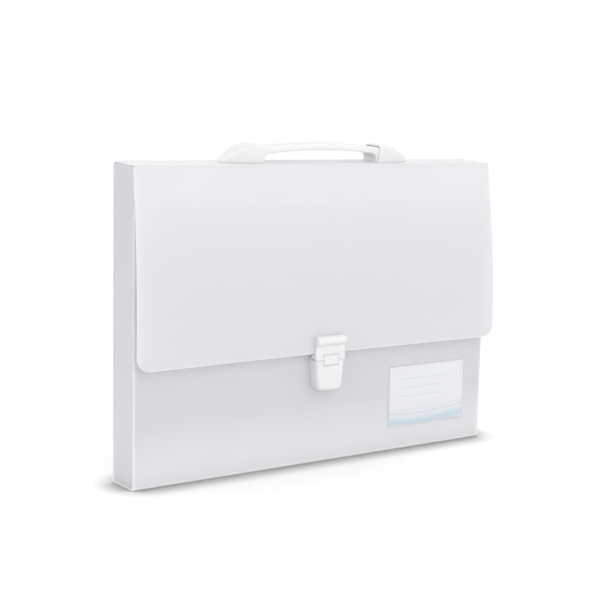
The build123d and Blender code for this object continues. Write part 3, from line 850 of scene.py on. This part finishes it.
class FOLDER_OT_housing(bpy.types.Operator):
    """Shapes the upper half of the latch from its section: plate, finger roll and flared keel"""

    bl_idname = "folder.housing"
    bl_label = "Latch housing"

    def execute(self, context):
        latch = context.scene.folder_latch
        half = HOUSING_HIGH.x
        seam = HOUSING_LOW.z
        front = HOUSING_LOW.y + latch.roll_proud
        seat = front + latch.plate_back
        roll_y = HOUSING_LOW.y + latch.roll_radius
        roll_z = HOUSING_HIGH.z - latch.roll_radius
        housing = add_primitive(
            bpy.ops.mesh.primitive_circle_add, "latch_housing_shell",
            vertices=56, radius=latch.roll_radius, fill_type="NGON",
            location=(-half, roll_y, roll_z), rotation=(0, math.radians(90), 0))
        edit(housing)
        bpy.ops.mesh.select_all(action="SELECT")
        bpy.ops.mesh.bisect(plane_co=(0, seat, 0), plane_no=(0, 1, 0), clear_outer=True)
        below_front = roll_z - math.sqrt(latch.roll_radius ** 2 - (front - roll_y) ** 2)
        below_seat = roll_z - math.sqrt(latch.roll_radius ** 2 - (seat - roll_y) ** 2)
        slope = Vector((0, seat - front, below_seat - below_front)).normalized()
        bpy.ops.mesh.select_all(action="SELECT")
        bpy.ops.mesh.bisect(
            plane_co=(0, front, below_front), plane_no=(0, slope.z, -slope.y), clear_outer=True)
        middle = ((front + seat) / 2, (below_front + below_seat) / 2)
        pick(housing, "EDGE", lambda p: near(p.y, middle[0], 0.3 * MM) and near(p.z, middle[1], 0.3 * MM))
        extrude((0, 0, -4.0 * MM))
        pick(housing, "VERT", lambda p: p.z < below_front - 3.0 * MM)
        bpy.ops.transform.resize(value=(1, 1, 0))
        pick(housing, "VERT", lambda p: p.z < below_front - 3.0 * MM)
        level = seam + latch.shoulder
        move((0, 0, level - min(v.co.z for v in housing.data.vertices)))
        pick(housing, "EDGE", lambda p: near(p.z, level))
        extrude((0, 0, -latch.shoulder))
        keel_y = HOUSING_HIGH.y
        keel_root, flare_hollow, flare_steps = 2.45 * MM, 0.9 * MM, 6
        top_y = seat + keel_root
        pick(housing, "EDGE", lambda p: near(p.y, seat) and p.z < level - 0.1 * MM)
        extrude((0, top_y - seat, 0))
        slice_at(housing, "z", [seam + latch.shoulder * step / flare_steps for step in range(1, flare_steps)])
        for step in range(flare_steps):
            share = 1 - step / flare_steps
            height = seam + latch.shoulder * step / flare_steps
            reach = (keel_y - top_y) * share - flare_hollow * 4 * share * (1 - share)
            pick(housing, "VERT", lambda p: near(p.y, top_y) and near(p.z, height))
            move((0, reach, 0))
        bpy.ops.mesh.select_all(action="SELECT")
        bpy.ops.mesh.remove_doubles(threshold=DOUBLES)
        bpy.ops.mesh.select_mode(type="FACE")
        bpy.ops.mesh.select_all(action="SELECT")
        bpy.ops.mesh.dissolve_faces()
        bpy.ops.mesh.select_all(action="SELECT")
        extrude((2 * half, 0, 0))
        bpy.ops.mesh.select_all(action="SELECT")
        bpy.ops.mesh.normals_make_consistent(inside=False)
        crease = 0.1 * MM
        pick(housing, "EDGE",
             lambda p: near(p.x, 0) and near(p.y, front, crease) and near(p.z, below_front, crease))
        bpy.ops.mesh.bevel(offset=0.8 * MM, segments=4, affect="EDGES")
        pick(housing, "EDGE", lambda p: near(abs(p.x), half) and p.y < seat - 0.02 * MM)
        bpy.ops.mesh.bevel(offset=latch.soft_edge, segments=4, affect="EDGES")
        leave_edit()
        outward(housing)
        wide = latch.pad_size[0] / 2 + latch.pad_gap
        top = seam + latch.pad_size[1] / 2 + latch.pad_gap
        past, room_side, room_deep, room_top = 1.0 * MM, 1.5 * MM, 3.3 * MM, 0.6 * MM
        cut_out(housing, (-wide, front - 2 * past, seam - past), (wide, front + latch.wall + past, top))
        cut_out(housing, (-wide - room_side, front + latch.wall, seam - past),
                (wide + room_side, front + latch.wall + room_deep, top + room_top))
        outward(housing)
        soften(housing, 0.15 * MM, 2, 50.0)
        finish_piece(housing, "flap", "white_moulding", (moulding_material(),), "latch_housing")
        return {"FINISHED"}


class FOLDER_OT_pad(bpy.types.Operator):
    """Shapes the press pad: round edges and a shallow dished face"""

    bl_idname = "folder.pad"
    bl_label = "Press pad"

    def execute(self, context):
        latch = context.scene.folder_latch
        wide, tall = latch.pad_size
        pad = add_block("press_pad_face", (-wide / 2, PAD_LOW.y, PAD_LOW.z),
                        (wide / 2, PAD_HIGH.y, PAD_LOW.z + tall))
        front = PAD_LOW.y
        corner, front_edge = 1.1 * MM, 0.6 * MM
        edit(pad)
        pick(pad, "EDGE", lambda p: near(abs(p.x), wide / 2) and near(p.y, (PAD_LOW.y + PAD_HIGH.y) / 2))
        bpy.ops.mesh.bevel(offset=corner, segments=5, affect="EDGES")
        pick(pad, "EDGE", lambda p: near(p.y, front))
        bpy.ops.mesh.bevel(offset=front_edge, segments=4, affect="EDGES")
        pick(pad, "FACE", lambda p: near(p.y, front))
        bpy.ops.mesh.inset(thickness=0.3 * MM, depth=0.0)
        for share, sink in ((0.93, 0.06 * MM), (0.86, 0.06 * MM), (0.75, 0.03 * MM)):
            extrude((0, sink, 0))
            bpy.ops.transform.resize(value=(share, 1, share))
        leave_edit()
        outward(pad)
        smooth(pad, 50.0)
        finish_piece(pad, "press_pad", "white_moulding", (moulding_material(),), "press_pad")
        return {"FINISHED"}


class FOLDER_OT_handle(bpy.types.Operator):
    """Softens the edges of the grip and its two caps"""

    bl_idname = "folder.handle"
    bl_label = "Handle"

    def execute(self, context):
        white = moulding_material()
        for node in ("handle_grip", "handle_cap_left", "handle_cap_right"):
            source = frame["nodes"][node]
            piece = bpy.data.objects.new(node + "_soft", source.data.copy())
            context.scene.collection.objects.link(piece)
            outward(piece)
            apply_modifier(piece, "REMESH", mode="VOXEL", voxel_size=0.28 * MM)
            apply_modifier(piece, "SMOOTH", factor=0.5, iterations=5)
            apply_modifier(piece, "DECIMATE", ratio=0.25)
            bpy.ops.object.shade_smooth()
            finish_piece(piece, "lid", "white_moulding", (white,), node)
        return {"FINISHED"}


class FOLDER_OT_mouldings(bpy.types.Operator):
    """Gives the plates and rivets inside the case their white moulded finish"""

    bl_idname = "folder.mouldings"
    bl_label = "Plates and rivets"

    def execute(self, context):
        white = moulding_material()
        for name in ("handle_backplate_left", "handle_backplate_right", "keeper_backplate",
                     "latch_backplate", "keeper_rivets", "handle_rivets", "latch_rivets"):
            dress(name, white)
        return {"FINISHED"}


class FOLDER_OT_card(bpy.types.Operator):
    """Prints the plain name card and lays the clear pocket film over it"""

    bl_idname = "folder.card"
    bl_label = "Card and pocket"

    def execute(self, context):
        dress("name_card", card_material())
        low, high = POCKET_LOW, POCKET_HIGH
        wall_y = high.y - 0.12 * MM
        corner, weld, fold, slope = 3.0 * MM, 1.7 * MM, 0.2 * MM, 0.4 * MM
        setback, thickness = 0.2 * MM, 0.08 * MM
        film = add_primitive(
            bpy.ops.mesh.primitive_plane_add, "pocket_film_sheet",
            (high.x - low.x, high.z - low.z, 1.0), size=1.0,
            location=((low.x + high.x) / 2, wall_y, (low.z + high.z) / 2), rotation=(math.radians(90), 0, 0))
        edit(film)
        pick(film, "VERT", lambda p: True)
        bpy.ops.mesh.bevel(offset=corner, segments=6, affect="VERTICES")
        pick(film, "FACE", lambda p: True)
        for width in (weld, fold, slope):
            bpy.ops.mesh.inset(thickness=width, depth=0.0)
        move((0, low.y - wall_y + setback, 0))
        bpy.ops.mesh.inset(thickness=fold, depth=0.0)
        leave_edit()
        apply_modifier(film, "SOLIDIFY", thickness=thickness, offset=0.0)
        smooth(film, 50.0)
        finish_piece(film, "case", "pocket_film", (film_material(),), "card_pocket")
        return {"FINISHED"}


def camera_matrix(settings):
    """Where the camera stands, from its angles, distance and roll."""
    az, el = settings.azimuth, settings.elevation
    back = Vector((math.sin(az) * math.cos(el), -math.cos(az) * math.cos(el), math.sin(el)))
    right = (-back).cross(Vector((0, 0, 1))).normalized()
    up = right.cross(-back)
    turned_right = right * math.cos(settings.roll) + up * math.sin(settings.roll)
    turned_up = up * math.cos(settings.roll) - right * math.sin(settings.roll)
    matrix = Matrix((turned_right, turned_up, back)).transposed().to_4x4()
    matrix.translation = Vector(settings.target) + back * settings.distance
    return matrix


def seen_ray(tree):
    """1 where the camera, a reflection or clear plastic looks, and 0 for the light on the object."""
    path = tree.nodes.new("ShaderNodeLightPath")
    seen = maths(tree, "MAXIMUM", path.outputs["Is Camera Ray"], path.outputs["Is Glossy Ray"])
    return maths(tree, "MAXIMUM", seen, path.outputs["Is Transmission Ray"])


def make_world(settings):
    """Soft room light, weaker overhead, and plain white where the camera, a reflection or clear plastic
    sees past the object."""
    world = bpy.data.worlds.new("Studio")
    bpy.context.scene.world = world
    world.use_nodes = True
    tree = world.node_tree
    room = tree.nodes["Background"]
    room.inputs["Color"].default_value = (1.0, 1.0, 1.0, 1.0)
    x, y, z = split(tree, tree.nodes.new("ShaderNodeTexCoord").outputs["Generated"])
    drop = maths(tree, "MULTIPLY", maths(tree, "MAXIMUM", z, 0.0),
                 settings.world_strength - settings.zenith_strength)
    tree.links.new(maths(tree, "SUBTRACT", settings.world_strength, drop), room.inputs["Strength"])
    white = tree.nodes.new("ShaderNodeBackground")
    white.inputs["Color"].default_value = (1.0, 1.0, 1.0, 1.0)
    mix_shaders(tree, seen_ray(tree), room, white, "World Output")


def floor_material(settings):
    """A pale floor that the camera sees as white, but for the shadow that the folder casts on it and a
    painted contact shadow close round the folder.
    """
    material = bpy.data.materials.new("Floor")
    material.use_nodes = True
    tree = material.node_tree
    tree.nodes.remove(tree.nodes["Principled BSDF"])
    gain = maths(tree, "MULTIPLY_ADD", seen_ray(tree), settings.floor_gain - 1.0, 1.0)
    # Painted contact shadow: an ambient occlusion mask darkens the floor's colour near the folder.
    contact = tree.nodes.new("ShaderNodeAmbientOcclusion")
    contact.inputs["Distance"].default_value = settings.painted_shadow_reach
    away_from_painted_shadow = maths(tree, "MULTIPLY", maths(tree, "SUBTRACT", contact.outputs["AO"], 0.5), 2.0, clamp=True)
    tone = maths(tree, "MULTIPLY_ADD", away_from_painted_shadow, 1.0 - settings.painted_shadow_tone, settings.painted_shadow_tone)
    gain = maths(tree, "MULTIPLY", gain, tone)
    colour = tree.nodes.new("ShaderNodeVectorMath")
    colour.operation = "SCALE"
    colour.inputs[0].default_value = settings.floor_colour
    tree.links.new(gain, colour.inputs["Scale"])
    matt = tree.nodes.new("ShaderNodeBsdfDiffuse")
    tree.links.new(colour.outputs[0], matt.inputs["Color"])
    tree.links.new(matt.outputs[0], tree.nodes["Material Output"].inputs["Surface"])
    return material


class FOLDER_OT_stage(bpy.types.Operator):
    """Sets up the room light, the floor, the lamp and the camera"""

    bl_idname = "folder.stage"
    bl_label = "Stage"

    def execute(self, context):
        settings = context.scene.folder_studio
        make_world(settings)
        bpy.ops.object.select_all(action="DESELECT")
        floor_size, floor_drop, sensor, view_reach = 12.0, 0.05 * MM, 36.0, 50.0
        bpy.ops.mesh.primitive_plane_add(size=floor_size, location=(0, 0, -floor_drop))
        floor = context.object
        floor.name = "floor"
        floor.data.materials.append(floor_material(settings))
        aim = Vector((0, 0, CAD_BOX[1].z / 2))
        lamp = bpy.data.lights.new("key", "AREA")
        lamp.shape = "SQUARE"
        lamp.size = settings.key_size
        lamp.energy = settings.key_power
        place = Vector(settings.key_place)
        holder = bpy.data.objects.new("key", lamp)
        context.scene.collection.objects.link(holder)
        holder.location = place
        holder.rotation_euler = (aim - place).to_track_quat("-Z", "Y").to_euler()
        camera = bpy.data.objects.new("camera", bpy.data.cameras.new("camera"))
        context.scene.collection.objects.link(camera)
        camera.data.sensor_width = sensor
        camera.data.lens = settings.lens
        camera.data.shift_x, camera.data.shift_y = settings.shift
        camera.data.clip_end = view_reach
        camera.matrix_world = camera_matrix(settings)
        context.scene.camera = camera
        context.scene.view_settings.view_transform = "Standard"
        return {"FINISHED"}


class FOLDER_PT_panel(bpy.types.Panel):
    """Lists the pieces of the document folder in the sidebar"""

    bl_label = "Document folder"
    bl_idname = "FOLDER_PT_panel"
    bl_space_type = "VIEW_3D"
    bl_region_type = "UI"
    bl_category = "Document folder"

    def draw(self, context):
        for operator in OPERATORS:
            self.layout.operator(operator.bl_idname)
        for name in SETTINGS:
            box = self.layout.box()
            settings = getattr(context.scene, name)
            for field in settings.bl_rna.properties:
                if not field.is_readonly:
                    box.prop(settings, field.identifier)


OPERATORS = (FOLDER_OT_sheets, FOLDER_OT_flap, FOLDER_OT_creases, FOLDER_OT_mouldings, FOLDER_OT_keeper,
             FOLDER_OT_housing, FOLDER_OT_pad, FOLDER_OT_handle, FOLDER_OT_card, FOLDER_OT_stage)


def register():
    for name, group in SETTINGS.items():
        bpy.utils.register_class(group)
        setattr(bpy.types.Scene, name, PointerProperty(type=group))
    for item in (*OPERATORS, FOLDER_PT_panel):
        bpy.utils.register_class(item)


def unregister():
    for item in reversed((*OPERATORS, FOLDER_PT_panel)):
        bpy.utils.unregister_class(item)
    for name, group in SETTINGS.items():
        delattr(bpy.types.Scene, name)
        bpy.utils.unregister_class(group)


def main():
    register()
    bpy.ops.folder.sheets()
    bpy.ops.folder.flap()
    bpy.ops.folder.creases()
    bpy.ops.folder.mouldings()
    bpy.ops.folder.keeper()
    bpy.ops.folder.housing()
    bpy.ops.folder.pad()
    bpy.ops.folder.handle()
    bpy.ops.folder.card()
    bpy.ops.folder.stage()


if __name__ == "__main__":
    main()
